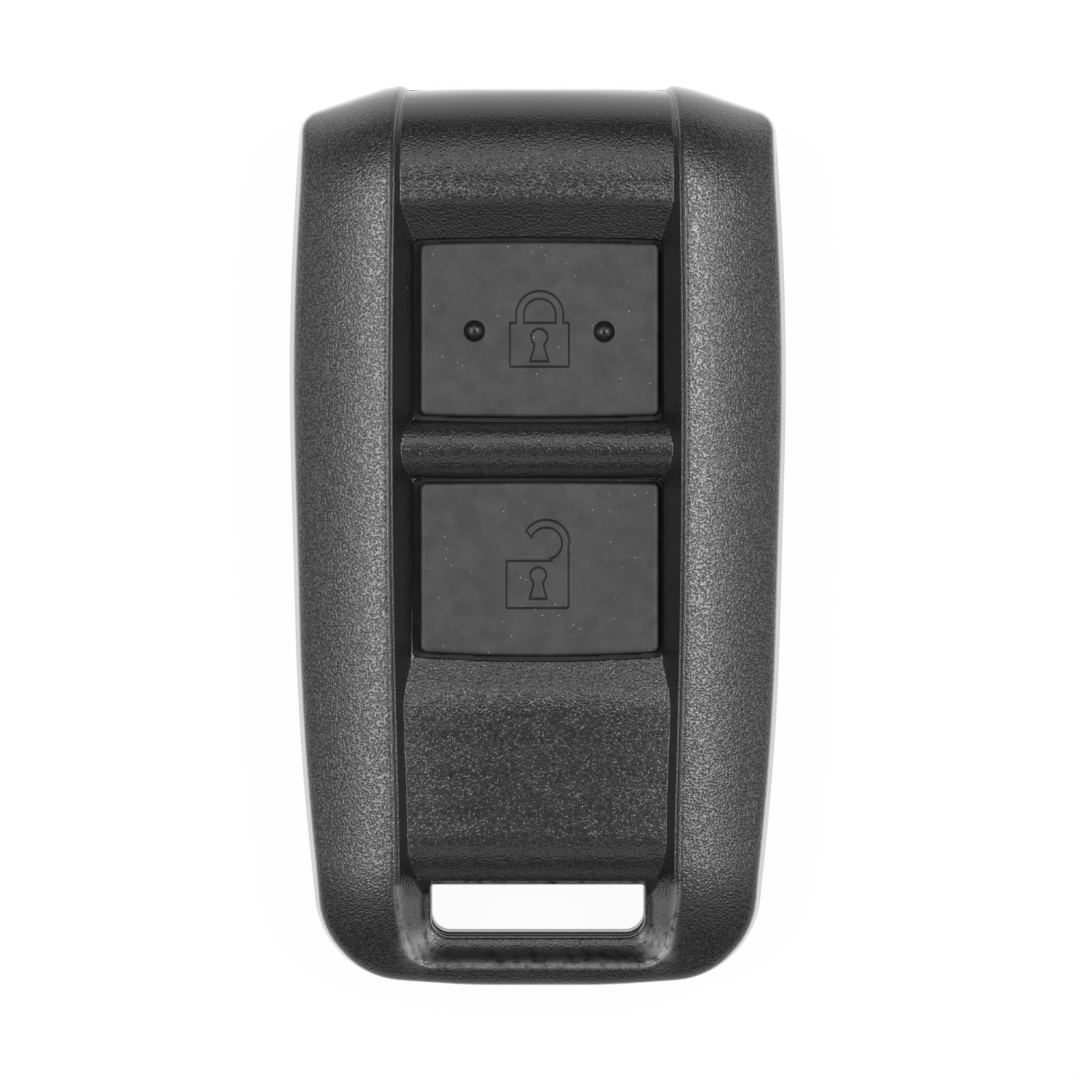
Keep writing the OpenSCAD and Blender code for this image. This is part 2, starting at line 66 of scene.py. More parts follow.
BOWS = {"lock": (0.2, 0.22), "unlock": (0.4, 0.12)}
BAR_Y, BAR_HALF, BAR_RISE = 7.32, 2.48, 1.47
LOW_PANEL_Y, LOW_RISE, LOW_FALL = -14.04, 1.04, 0.7
CURL_Y, CURL_TURN = -26.2, math.radians(60)
SLOT_HALF, SLOT_TOP, SLOT_BOTTOM, LIP = 9.2, -30.14, -34.4, 0.35
BOWL_Z, BOWL_SIDE, BOWL_LEAN = 8.7, 0.4, 0.47
LEDGE_DROP, LEDGE_OUT, LEDGE_IN = 0.36, 0.14, 0.04
BUTTON_GAP, BUTTON_TOP, FLANGE, FLANGE_LAP, POST = 0.38, 12.8, 10.4, 0.8, 1.6
DOTS, DOT_RADIUS, DOT_SINK = ((-5.43, 17.47), (5.7, 17.37)), 0.95, 0.3
GROOVE, GROOVE_DEPTH = 0.1, 0.16
KEY_X, HEAD_HALF, HEAD_BOTTOM, KEY_GAP = 11.09, 5.5, 30.78, 0.25
HEAD_GROOVES, GROOVE_START, GROOVE_PITCH = 3, 2.2, 1.8
BLADE_HALF, BLADE_LOW, BLADE_HIGH, BLADE_ROOM = 3.5, 1.6, 3.8, 3.9
CELL_X, CELL_Y, CELL_RING = -5.36, 3.0, 10.8
CORNERS = [(12.4, 39.0, 4.0), (20.55, 36.23, 2.3), (21.7, 18.0, 250.0), (20.74, -17.0, 250.0),
           (18.62, -38.14, 7.9), (6.0, -39.0, 60.0)]


# Field tools

def smooth_max(a, b, k):
    """The larger of two fields, with a fillet about as wide as k where they meet."""
    blend = np.maximum(k - np.abs(a - b), 0.0) / k
    return np.maximum(a, b) + blend * blend * k / 4


def smooth_min(a, b, k):
    return -smooth_max(-a, -b, k)


def rounded_box(x, y, half_x, half_y, radius):
    """Distance to a rectangle with rounded corners."""
    dx = np.abs(x) - half_x + radius
    dy = np.abs(y) - half_y + radius
    outside = np.sqrt(np.maximum(dx, 0) ** 2 + np.maximum(dy, 0) ** 2)
    return outside + np.minimum(np.maximum(dx, dy), 0) - radius


def corner_arc(a, p, b, radius, steps):
    """Points of the arc that rounds corner p of the clockwise path a, p, b."""
    a, p, b = (np.array(v, float) for v in (a, p, b))
    u, v = (a - p) / np.linalg.norm(a - p), (b - p) / np.linalg.norm(b - p)
    half = math.acos(float(u @ v)) / 2
    centre = p + (u + v) / np.linalg.norm(u + v) * radius / math.sin(half)
    start = p + u * radius / math.tan(half) - centre
    turns = -np.linspace(0, math.pi - 2 * half, steps + 1)
    return [centre + np.array([start[0] * math.cos(t) - start[1] * math.sin(t),
                               start[0] * math.sin(t) + start[1] * math.cos(t)]) for t in turns]


def right_outline():
    path = [(0.0, HALF_LENGTH)] + [(x, y) for x, y, _ in CORNERS] + [(0.0, -HALF_LENGTH)]
    points = []
    for i, (x, y, radius) in enumerate(CORNERS):
        points += corner_arc(path[i], path[i + 1], path[i + 2], radius, 14)
    return np.array(points)


OUTLINE = right_outline()


def outline_inset(x, y):
    """How far a point lies inside the convex outline of the fob."""
    x = np.abs(x)
    inset = np.minimum(HALF_LENGTH - y, HALF_LENGTH + y) + 0 * x
    for a, b in zip(OUTLINE[:-1], OUTLINE[1:]):
        along = (b - a) / np.linalg.norm(b - a)
        inset = np.minimum(inset, (x - a[0]) * along[1] - (y - a[1]) * along[0])
    return inset


# Front cover

def end_distance(x, y):
    """Distance in from the top edge and its sloping shoulders."""
    (ax, ay, _), (bx, by, _) = CORNERS[:2]
    size = math.hypot(bx - ax, by - ay)
    shoulder = ((np.abs(x) - ax) * (by - ay) - (y - ay) * (bx - ax)) / size
    return smooth_min(HALF_LENGTH - y, shoulder, 1.0)


def crown(x, y):
    across = np.minimum(np.maximum(np.abs(x) - WING_AXIS, 0), WING_RADIUS * 0.95)
    fall = WING_RADIUS - np.sqrt(WING_RADIUS ** 2 - across ** 2)
    foot = np.maximum(FOOT_Y - y, 0) ** 2 / (2 * FOOT_RADIUS)
    return CREST_Z - (y - CREST_Y) ** 2 / (2 * CREST_RADIUS) - fall - foot


def front_form(x, y, z):
    rise = crown(x, y) - PARTING
    reach = np.maximum(END_DEPTH - end_distance(x, y), 0) / END_DEPTH
    up = np.maximum(z - PARTING, 0) / rise
    top = rise * (np.sqrt(reach ** 2 + up ** 2) - 1)
    draft = DRAFT * (1 - 0.5 * np.clip(-y / 2.5 - 14.4, 0, 1))
    side = draft * (z - PARTING) / DRAFT_HEIGHT - outline_inset(x, y)
    return smooth_max(top, side, 0.2 + 0.4 * np.clip(end_distance(x, y) / 5 - 0.1, 0, 1))


def floor_height(x, y):
    """Height of the channel floor: deck, bar, and the panels at both ends with their slopes."""
    arched = y + END_ARCH * (x / CHANNEL) ** 2
    high_edge, low_edge = WINDOWS["lock"][1], WINDOWS["unlock"][0]
    top_slope = DECK + (arched - high_edge) * (TOP_PANEL - DECK) / (PANEL_Y - high_edge)
    top = smooth_min(TOP_PANEL + 0 * y, top_slope, 0.22)
    low_slope = DECK + (low_edge - y) * LOW_RISE / (low_edge - LOW_PANEL_Y)
    low_panel = DECK + LOW_RISE - LOW_FALL * (LOW_PANEL_Y - y) / (LOW_PANEL_Y - CURL_Y)
    low = smooth_min(low_panel, low_slope, 0.5)
    curl_radius = (CURL_Y - SLOT_TOP) / math.sin(CURL_TURN)
    curl = np.clip(CURL_Y - y, 0, curl_radius * 0.95)
    low = low - curl_radius + np.sqrt(curl_radius ** 2 - curl ** 2)
    radius = (BAR_HALF ** 2 + BAR_RISE ** 2) / (2 * BAR_RISE)
    off = np.minimum(np.abs(y - BAR_Y), radius * 0.99)
    bar = DECK + BAR_RISE - radius + np.sqrt(radius ** 2 - off ** 2)
    return np.where(y < LOW_PANEL_Y, low, np.maximum(np.maximum(top, low), np.maximum(bar, DECK)))


def mouth(y):
    """0 in the channel, 1 in the bowl round the key-ring slot."""
    t = np.clip((SLOT_TOP + 1.8 - y) / 3.4, 0, 1)
    return t * t * (3 - 2 * t)


def channel_half(y, z):
    """Half width between the leaning walls, which turn into the sides of the bowl at the slot."""
    flare = 0.0025 * np.maximum(CURL_Y + 5 - y, 0) ** 2
    half = CHANNEL - CHANNEL_TAPER * y + flare + LEAN * (z - DECK)
    bowl = SLOT_HALF + BOWL_SIDE + BOWL_LEAN * np.clip(z - BOWL_Z, -1, 8)
    return half + mouth(y) * (bowl - half)


def channel_walls(x, y, z):
    """Positive between the walls of the channel; also the height over the rolled top end."""
    arched = y - END_LAG + END_ARCH * (x / CHANNEL) ** 2
    along = np.maximum(arched - END_START, 0) / (END_Y - END_START)
    up = np.maximum(z - PARTING, 1e-6) / (TOP_PANEL - PARTING)
    over_end = (np.sqrt(along ** 2 + up ** 2) - 1) * 8.0
    turn = np.arctan2(along, up) / 1.5
    half_panel = CHANNEL - CHANNEL_TAPER * END_START + LEAN * (TOP_PANEL - DECK)
    half_end = half_panel - 0.6 * turn ** 3 + LEAN * over_end
    half = np.where(arched > END_START, half_end, channel_half(y, z))
    return (half - np.abs(x + CHANNEL_SHIFT)) / math.hypot(1, LEAN), over_end


def channel(x, y, z):
    """Positive in the space between the wings: above the channel floor, and in the bowl below the slot."""
    walls, over_end = channel_walls(x, y, z)
    floor = floor_height(x, np.maximum(y, SLOT_TOP))
    floor = floor + np.clip((SLOT_TOP - y) / 0.8, 0, 1) * (BOWL_Z - floor)
    over = np.where(y > END_START + 0.2, over_end, z - floor)
    rise = np.clip(z - BOWL_Z, -1, 8)
    low = SLOT_BOTTOM - LIP - 0.9 - 0.6 * rise
    radius = 1.2 + 0.4 * np.maximum(rise, -0.5)
    below = -rounded_box(x + CHANNEL_SHIFT, y - low - 20, channel_half(y, z), 20, radius) * 0.85
    sides = np.where(y < -20, np.minimum(below, walls), walls)
    return smooth_min(over, sides, 0.03 + 0.9 * mouth(y))


def wings(x, y, z):
    """Front form with the channel and the bowl cut into it, and a fine ledge along the edge of the cut."""
    form = front_form(x, y, z)
    cut = channel(x, y, z)
    upper = smooth_max(form, cut + LEDGE_OUT, 0.4)
    ledge = smooth_max(form + LEDGE_DROP, cut + LEDGE_IN, 0.05)
    return smooth_min(upper, ledge, 0.04)


def slot(x, y, bottom):
    """Positive in the key-ring slot: small upper corners, large lower corners."""
    middle, half = (SLOT_TOP + bottom) / 2, (SLOT_TOP - bottom) / 2
    low = -rounded_box(x, y - middle - 1, SLOT_HALF, half + 1, 1.6)
    return smooth_min(low, SLOT_TOP - y, 0.3)


def bowed(x, y, name):
    """Lengthwise place with the bowed edges of a button pressed straight."""
    low, high = WINDOWS[name]
    bow_low, bow_high = BOWS[name]
    share = np.clip((y - low) / (high - low), 0, 1)
    return y + (x / CHANNEL) ** 2 * (bow_high * share - bow_low * (1 - share))


def window(x, y, name):
    low, high = WINDOWS[name]
    return -rounded_box(x, bowed(x, y, name) - (low + high) / 2, CHANNEL, (high - low) / 2, 0.5)


def room(x, y, wall=WALL):
    """Positive in the plan of the hollow inside."""
    return np.minimum(outline_inset(x, y) - wall, np.minimum(y - ROOM_LOW, ROOM_HIGH - y))


def front_cover(x, y, z):
    body = smooth_max(wings(x, y, z), PARTING - z, 0.1)
    body = smooth_max(body, slot(x, y, SLOT_BOTTOM - LIP), 0.35)
    for name in WINDOWS:
        body = smooth_max(body, np.minimum(window(x, y, name), z - CEILING + 0.5),
                          0.06 + 0.1 * (np.abs(x) > 10.1))
    return np.maximum(body, np.minimum(room(x, y), CEILING - z))


# Rear cover and the head of the spare key

def rear_form(x, y, z):
    inset = np.minimum(outline_inset(x, y) - REAR_STEP, END_Y - 0.1 - y)
    edge = np.maximum(1 - inset / REAR_EDGE, 0)
    down = np.maximum(PARTING - z, 0) / PARTING
    roll = (edge ** REAR_POWER + down ** REAR_POWER) ** (1 / REAR_POWER) - 1
    return smooth_max(4.2 * roll, z - PARTING, 0.2)


def head_block(x, y, gap):
    """Positive in the block at the top end that the spare key's head fills."""
    return np.minimum(HEAD_HALF + gap - np.abs(x - KEY_X), y - HEAD_BOTTOM + gap)


def rear_cover(x, y, z):
    body = rear_form(x, y, z)
    body = smooth_max(body, head_block(x, y, KEY_GAP), 0.2)
    bevel = slot(x, y, SLOT_BOTTOM) + np.maximum(1.3 - z, 0) * 0.9
    body = smooth_max(body, bevel * 0.8, 0.3)
    tunnel = np.minimum(BLADE_ROOM - np.abs(x - KEY_X), np.minimum(y - 28.0, 32.0 - y))
    tunnel = np.minimum(tunnel, np.minimum(z - BLADE_LOW, BLADE_HIGH + KEY_GAP - z))
    inner = np.minimum(room(x, y, WALL + 2.2), z - REAR_FLOOR)
    shelf = np.minimum(room(x, y), z - SHELF)
    body = np.maximum(np.maximum(body, tunnel), np.maximum(inner, shelf))
    rails = np.minimum(y + 17.5, ROOM_HIGH - y)
    guide = np.minimum(np.minimum(0.5 - np.abs(np.abs(x - KEY_X) - 4.4), rails), 4.5 - z)
    ring = np.abs(np.hypot(x - CELL_X, y - CELL_Y) - CELL_RING)
    cradle = np.minimum(np.minimum(0.55 - ring, np.abs(x - CELL_X) - 3.2), 4.0 - z)
    return np.minimum(body, -np.minimum(np.maximum(guide, cradle), z - REAR_FLOOR + 0.2))


def key_head(x, y, z):
    body = smooth_max(rear_form(x, y, z), -head_block(x, y, 0), 0.2)
    for i in range(HEAD_GROOVES):
        along = y - HEAD_BOTTOM - GROOVE_START - GROOVE_PITCH * i
        body = smooth_max(body, 0.7 - np.hypot(along, z + 0.35), 0.15)
    pocket = np.minimum(BLADE_HALF - np.abs(x - KEY_X), HEAD_BOTTOM + 4 - y)
    return np.maximum(body, np.minimum(pocket, np.minimum(z - BLADE_LOW, BLADE_HIGH - z)))


# Buttons with their engraved signs

def keyhole(x, y, top, radius, bottom, flare):
    disc = np.hypot(x, y - top) - radius
    neck = radius * 0.62
    t = np.clip((top - y) / (top - bottom), 0, 1)
    skirt = np.maximum(np.abs(x) - (neck + (flare - neck) * np.maximum(t - 0.45, 0) / 0.55),
                       np.maximum(bottom - y, y - top))
    return np.minimum(disc, skirt)


def closed_lock(x, y):
    """Distance to the nearest line of the closed padlock sign."""
    case = rounded_box(x - 0.14, y - 16.26, 2.53, 1.88, 0.12)
    r = np.hypot(x - 0.17, np.maximum(y - 18.85, 0))
    shackle = np.maximum(np.abs(r - 1.69) - 0.33, 17.5 - y)
    lines = np.abs(np.minimum(case, shackle))
    return np.minimum(lines, np.abs(keyhole(x - 0.13, y, 16.92, 0.71, 14.84, 0.8)))


def open_lock(x, y):
    """Distance to the nearest line of the open padlock sign."""
    case = rounded_box(x + 0.02, y + 4.3, 2.66, 2.02, 0.12)
    u, v = x - 0.714, y + 0.775
    r = np.hypot(u, v)
    band = np.maximum(np.where(v > 0, r - 2.02, u - 1.93), 1.36 - r)
    free_end = -(x + 1.112) * 0.764 - (y - 0.429) * 0.646
    shackle = np.maximum(np.maximum(band, free_end), np.minimum(-v, -u))
    lines = np.abs(np.minimum(case, np.maximum(shackle, -3 - y)))
    return np.minimum(lines, np.abs(keyhole(x - 0.04, y, -3.52, 0.69, -5.52, 0.73)))


def button(x, y, z, name, sign):
    low, high = WINDOWS[name]
    middle, half = (low + high) / 2, (high - low) / 2
    plan = rounded_box(x - 0.15, bowed(x, y, name) - middle - 0.05,
                       CHANNEL - BUTTON_GAP - 0.06, half - BUTTON_GAP - 0.04, 0.5)
    body = smooth_max(np.maximum(plan, FLANGE + 0.1 - z), z - BUTTON_TOP, 0.4)
    flange = rounded_box(x, y - middle, CHANNEL + FLANGE_LAP, half + FLANGE_LAP, 1.2)
    body = np.minimum(body, np.maximum(flange, np.maximum(FLANGE - z, z - CEILING)))
    post = np.hypot(x, y - middle) - POST
    body = np.minimum(body, np.maximum(post, np.maximum(FLANGE - 0.4 - z, z - FLANGE - 0.2)))
    apart = sign(x, y)
    cut = np.minimum(GROOVE - apart, (z - BUTTON_TOP + GROOVE_DEPTH * (1 - apart / GROOVE)) * 0.6)
    return smooth_max(body, cut, 0.05)


def lock_button(x, y, z):
    body = button(x, y, z, "lock", closed_lock)
    for dot_x, dot_y in DOTS:
        off = np.sqrt((x - dot_x) ** 2 + (y - dot_y) ** 2 + (z - BUTTON_TOP + DOT_SINK) ** 2)
        body = smooth_min(body, off - DOT_RADIUS, 0.12)
    return body


def unlock_button(x, y, z):
    return button(x, y, z, "unlock", open_lock)


# Meshing

def grid_line(start, stop, step, fine=()):
    """Grid positions: step apart, or closer inside the fine spans (low, high, step)."""
    here, places = start, [start]
    while here < stop:
        steps = [step] + [s for low, high, s in fine if low - 0.01 <= here < high]
        ahead = [low - here for low, _, _ in fine if here < low - 0.01]
        here += max(min(steps + ahead), 0.02)
        places.append(here)
    return np.array(places)


def mirrored(places):
    """Grid positions of the right half, repeated on the left."""
    return np.unique(np.round(np.concatenate([-places[::-1], places]), 6))


def gradient(field, p, step=0.004):
    """Unit normals of the field at points p, and its slope there."""
    parts = []
    for axis in range(3):
        d = np.zeros(3)
        d[axis] = step
        parts.append(field(*(p + d).T) - field(*(p - d).T))
    g = np.stack(parts, axis=1)
    size = np.linalg.norm(g, axis=1)
    return g / np.maximum(size, 1e-9)[:, None], size / (2 * step)


def net(field, xs, ys, zs):
    """Vertices and quads of the field's zero surface, with one vertex in each grid cell that it crosses."""
    values = field(xs[:, None, None], ys[None, :, None], zs[None, None, :])
    values = np.broadcast_to(values, (len(xs), len(ys), len(zs)))
    inside = values < 0
    corners = [(i, j, k) for i in (0, 1) for j in (0, 1) for k in (0, 1)]
    nx, ny, nz = (n - 1 for n in inside.shape)
    count = sum(inside[i:nx + i, j:ny + j, k:nz + k].astype(np.int8) for i, j, k in corners)
    cells = np.argwhere((count > 0) & (count < 8))
    number = np.full(count.shape, -1)
    number[tuple(cells.T)] = np.arange(len(cells))
    total, hits = np.zeros((len(cells), 3)), np.zeros(len(cells))
    places = [xs, ys, zs]
    for a in corners:
        for axis in range(3):
            if a[axis]:
                continue
            b = tuple(v + (n == axis) for n, v in enumerate(a))
            at, to = cells + np.array(a), cells + np.array(b)
            va, vb = values[tuple(at.T)], values[tuple(to.T)]
            cross = (va < 0) != (vb < 0)
            t = np.where(cross, va / np.where(cross, va - vb, 1), 0)
            pa = np.stack([places[n][at[:, n]] for n in range(3)], axis=1)
            pb = np.stack([places[n][to[:, n]] for n in range(3)], axis=1)
            total += np.where(cross[:, None], pa + (pb - pa) * t[:, None], 0)
            hits += cross
    points = total / hits[:, None]
    quads = []
    for axis in range(3):
        u, v = (axis + 1) % 3, (axis + 2) % 3
        first = [slice(None)] * 3
        second = [slice(None)] * 3
        first[axis], second[axis] = slice(None, -1), slice(1, None)
        edges = np.argwhere(inside[tuple(first)] != inside[tuple(second)])
        ring = []
        for du, dv in ((-1, -1), (0, -1), (0, 0), (-1, 0)):
            c = edges.copy()
            c[:, u] += du
            c[:, v] += dv
            ring.append(number[tuple(c.T)])
        ring = np.stack(ring, axis=1)
        leaves = inside[tuple(edges.T)]
        quads.append(np.where(leaves[:, None], ring, ring[:, ::-1]))
    return points, np.concatenate(quads)


def follow_crest(x, y, z):
    """Place of a grid point when the grid lines beside the crests are bent to follow them."""
    along = np.clip(y, -31, 29)
    shift = channel_half(along, crown(12.3, along)) - 12.62
    off = np.abs(x)
    share = np.clip((off - 10.9) / 1.5, 0, 1) * np.clip((20.5 - off) / 7, 0, 1)
    return np.sign(x) * (off + shift * share), y + 0 * x, z + 0 * x


def moulding(name, field, xs, ys, zs, body, node, masks=None, bend=None):
    """A piece made from a field: meshed, drawn onto its surface, with the field's own normals."""
    if bend:
        points, quads = net(lambda x, y, z: field(*bend(x, y, z)), xs, ys, zs)
        points = np.stack(bend(*points.T), axis=1)
    else:
        points, quads = net(field, xs, ys, zs)
    for _ in range(4):
        normal, slope = gradient(field, points)
        step = np.clip(field(*points.T) / np.maximum(slope, 0.3), -0.12, 0.12)
        points = points - normal * step[:, None]
    normal, _ = gradient(field, points)
    mesh = bpy.data.meshes.new(name)
    mesh.from_pydata((points * MM).tolist(), [], quads.tolist())
    mesh.polygons.foreach_set("use_smooth", np.ones(len(quads), bool))
    mesh.normals_split_custom_set_from_vertices(normal.tolist())
    for mask, paint in (masks or {}).items():
        layer = mesh.attributes.new(mask, "FLOAT", "POINT")
        layer.data.foreach_set("value", paint(*points.T, normal).astype(np.float32))
    piece = bpy.data.objects.new(name, mesh)
    bpy.context.collection.objects.link(piece)
    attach(piece, body)
    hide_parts(node)
    return piece


# Masks: one value for each vertex, read by the finishes

WING_GRAIN, BAR_GRAIN, END_GRAIN, NICK_GRAIN = 1.5, 0.7, 0.9, 0.8


def cover_grain(x, y, z, normal):
    """Most on the wings, less on the panels, bar, slopes and ledges, 0 on the channel walls and the rim."""
    walls, _ = channel_walls(x, y, z)
    between = np.clip((walls + 0.3) * 8, 0, 1)
    facing = np.clip((normal[:, 2] - 0.25) * 4, 0, 1)
    level = np.clip((np.abs(normal[:, 0]) - 0.3) * -8, 0, 1)
    deep = np.clip((z - floor_height(x, y) - 0.1) * -8, 0, 1)
    bar = BAR_GRAIN + 0.29 * np.clip(np.abs(y - BAR_Y) - BAR_HALF, 0, 1)
    bar = bar * (1 + 0.15 * (x / CHANNEL) ** 2)
    slope = 1 - 0.3 * np.clip((y - 25.2) * 4, 0, 1) * np.clip((PANEL_Y - y) * 4, 0, 1)
    panel = level * deep * bar * slope * np.clip((y - CURL_Y + 2.5) / 3, 0.8, 1)
    panel = np.where(y > END_START, END_GRAIN * level * np.clip((37.5 - y) / 3, 0, 1), panel)
    cut = channel(x, y, z)
    outside = 1 - np.clip(cut * 4 + 1.6, 0, 1)
    wing = WING_GRAIN * (1 - 0.35 * np.clip((np.abs(y - 3) - 27) / 8, 0, 1))
    grain = np.where(y < SLOT_TOP, wing * outside, wing * (1 - between) + between * panel)
    edge = np.where(y < SLOT_TOP, cut, walls)
    nicks = NICK_GRAIN * np.clip((0.5 - np.abs(edge + 0.1)) * 5, 0, 1) * (y < 30)
    return facing * np.maximum(grain, nicks)


def rear_grain(x, y, z, normal):
    """1 on the back."""
    return np.clip((-normal[:, 2] - 0.1) * 3, 0, 1)


def cover_rim(x, y, z, normal):
    """1 on the smooth steep sides of the cover."""
    return np.clip((0.45 - normal[:, 2]) * 6, 0, 1) * np.clip((1.6 - outline_inset(x, y)) * 3, 0, 1)


def cover_sheen(x, y, z, normal):
    """1 on the polished roll of the top end, less on the worn crests of the wings."""
    end = np.clip((0.8 - normal[:, 2]) * 2.5, 0, 1) * np.clip((y - 32) / 3, 0, 1)
    walls, _ = channel_walls(x, y, z)
    crest = np.clip(-walls * 4, 0, 1) * np.clip((22 - np.abs(x)) / 6, 0, 1)
    crest = crest * np.clip((32 - y) / 6, 0, 1) * np.clip((y - SLOT_TOP + 3) / 30, 0, 1)
    ledge = np.clip((0.2 - np.abs(walls + 0.1)) * 10, 0, 1) * (y < 30)
    ledge = ledge * np.clip((normal[:, 2] - 0.85) * 10, 0, 1)
    return np.clip(end + 0.05 * crest + 0.15 * ledge, 0, 1)


def cover_scuffs_and_light(x, y, z, normal):
    """Where keys and rings have rubbed: the bowl's corners and the slot's upper edge; and painted light on
    the bowl's rim and walls, which the lamps don't reach.
    """
    within = np.clip(channel(x, y, z) * 3 + 1.4, 0, 1) * np.clip((SLOT_TOP + 0.4 - y) * 2, 0, 1)
    # painted light: the bowl's rim and walls are lightened where the lamps don't reach
    rim = within * np.exp(-((front_form(x, y, z) + 0.3) / 0.7) ** 2)
    corner = np.exp(-(np.abs(x) - 10.3) ** 2 / 1.2 - (y + 35.2) ** 2 / 1.8)
    edge = np.exp(-((y - SLOT_TOP - 0.1) / 0.2) ** 2) * (np.abs(x) < SLOT_HALF)
    scuffs = np.clip(0.04 * within + 0.3 * rim + 0.9 * corner + 0.6 * edge, 0, 1)
    return scuffs * (normal[:, 2] > 0.1) * (y < FOOT_Y)


def sign_groove_shade(sign):
    """1 in the engraved lines of a button's sign, which are darkened with painted shade."""
    def groove_shade(x, y, z, normal):
        return np.clip((GROOVE - sign(x, y)) / 0.08, 0, 1) * (z > BUTTON_TOP - 0.4)
    return groove_shade


def touch_dots(x, y, z, normal):
    """1 on the two raised dots of the lock button."""
    (left, left_y), (right, right_y) = DOTS
    across = np.abs(x - (left + right) / 2) - (right - left) / 2
    off = np.hypot(across, y - (left_y + right_y) / 2)
    return np.clip((DOT_RADIUS + 0.03 - off) / 0.12, 0, 1) * (z > BUTTON_TOP - 0.1)


# Pieces, each on a grid that is fine at its edges

cover_x = mirrored(grid_line(0, 21.9, 0.45, [(8.9, 12.2, 0.15), (12.2, 13.3, 0.045), (19.8, 21.9, 0.13)]))
cover_y = grid_line(-39.6, 39.6, 0.45, [(-39.6, -29.6, 0.18), (-14.6, -10.4, 0.2), (4.2, 10.4, 0.16),
                                        (25.0, 29.6, 0.18), (36.5, 39.6, 0.18)])
cover_z = grid_line(6.1, 16.1, 0.3, [(6.1, 7.0, 0.15), (10.9, 13.2, 0.18)])
cover_masks = {"grained": cover_grain, "rim": cover_rim, "glossy": cover_sheen, "scuffed_and_lit": cover_scuffs_and_light}
front = moulding("front_moulding", front_cover, cover_x, cover_y, cover_z, "fob", "front_cover",
                 cover_masks, follow_crest)

rear_x = mirrored(grid_line(0, 21.9, 0.5, [(5.0, 17.2, 0.3), (19.6, 21.9, 0.25)]))
rear_y = grid_line(-39.6, 39.6, 0.5, [(-39.6, -29.0, 0.22), (29.0, 39.6, 0.25)])
rear_z = grid_line(-0.4, 7.0, 0.3, [(-0.4, 1.0, 0.2), (5.7, 7.0, 0.15)])
rear = moulding("rear_moulding", rear_cover, rear_x, rear_y, rear_z, "fob", "rear_cover",
                {"grained": rear_grain})

head = moulding("spare_key_head", key_head, grid_line(5.0, 17.2, 0.25), grid_line(30.2, 39.6, 0.2),
                grid_line(-0.4, 7.0, 0.2), "spare_key", "key_head", {"grained": rear_grain})

button_x = grid_line(-11.9, 11.9, 0.5, [(-11.9, -9.9, 0.16), (-6.6, -4.3, 0.12), (-2.9, 3.1, 0.06),
                                        (4.5, 6.8, 0.12), (9.9, 11.9, 0.16)])
button_z = grid_line(9.6, 13.5, 0.3, [(12.3, 13.5, 0.08)])
buttons = []
for name, field, sign, sign_y in (("lock", lock_button, closed_lock, 18.0),
                                  ("unlock", unlock_button, open_lock, -2.6)):
    low, high = WINDOWS[name]
    button_y = grid_line(low - 1.2, high + 1.2, 0.5, [(low - 1.2, low + 0.8, 0.16),
                                                      (sign_y - 3.9, sign_y + 4.1, 0.06),
                                                      (high - 0.8, high + 1.2, 0.16)])
    buttons.append(moulding(name + "_rubber", field, button_x, button_y, button_z, name + "_key",
                            name + "_button", {"engraved": sign_groove_shade(sign), "raised": touch_dots}))


# Finishes

class Socket:
    """An output in a material; arithmetic on it adds Math nodes."""

    def __init__(self, finish, output):
        self.finish, self.output = finish, output

    def math(self, operation, *values):
        return self.finish.node("ShaderNodeMath", {"operation": operation}, dict(enumerate(values)))

    def __add__(self, other):
        return self.math("ADD", self, other)

    def __rsub__(self, other):
        return self.math("SUBTRACT", other, self)

    def __mul__(self, other):
        return self.math("MULTIPLY", self, other)

    __radd__, __rmul__ = __add__, __mul__

    def span(self, low, high):
        """0 at low, 1 at high, held to that range."""
        return self.finish.node("ShaderNodeMapRange", {"clamp": True, "interpolation_type": "SMOOTHSTEP"},
                                {"Value": self, "From Min": low, "From Max": high})


class Finish:
    """A procedural material with one main shader."""

    def __init__(self, name, **constants):
        self.material = bpy.data.materials.new(name)
        self.material.use_nodes = True
        self.tree = self.material.node_tree
        self.shader = self.tree.nodes["Principled BSDF"]
        for socket, value in constants.items():
            self.shader.inputs[socket.replace("_", " ")].default_value = value

    def node(self, kind, settings=None, inputs=None, output=0):
        """A new node with its settings and its socket values or links, as the Socket of one output."""
        node = self.tree.nodes.new(kind)
        for key, value in (settings or {}).items():
            setattr(node, key, value)
        for key, value in (inputs or {}).items():
            if isinstance(value, Socket):
                self.tree.links.new(value.output, node.inputs[key])
            else:
                node.inputs[key].default_value = value
        return Socket(self, node.outputs[output])

    def place(self):
        return self.node("ShaderNodeTexCoord", output="Object")

    def noise(self, size, detail=2.0, rough=0.5):
        """Soft noise between 0 and 1 whose features are about size millimetres wide."""
        return self.node("ShaderNodeTexNoise", None, {"Vector": self.place(), "Scale": 1 / (size * MM),
                                                      "Detail": detail, "Roughness": rough})

    def cells(self, size, feature="F1"):
        """Distance to the middle or the edge of cells about size millimetres wide, in their own scale."""
        return self.node("ShaderNodeTexVoronoi", {"feature": feature},
                         {"Vector": self.place(), "Scale": 1 / (size * MM)}, "Distance")

    def attribute(self, name):
        return self.node("ShaderNodeAttribute", {"attribute_name": name}, output="Fac")

    def mix(self, factor, a, b):
        """Colour between a and b."""
        return self.node("ShaderNodeMix", {"data_type": "RGBA"}, {0: factor, 6: a, 7: b}, 2)

    def bump(self, height, depth):
        """Normal of a surface raised by height (0 to 1) times depth in millimetres."""
        return self.node("ShaderNodeBump", None,
                         {"Height": height, "Distance": depth * MM, "Strength": 1.0})

    def shade(self, **links):
        """Links values into the main shader and gives the material."""
        for socket, value in links.items():
            self.tree.links.new(value.output, self.shader.inputs[socket.replace("_", " ")])
        return self.material


def grey(level):
    """A neutral colour from its display level, 0 to 255."""
    linear = ((level / 255 + 0.055) / 1.055) ** 2.4 if level > 10 else level / 3294.6
    return (linear, linear, linear, 1.0)


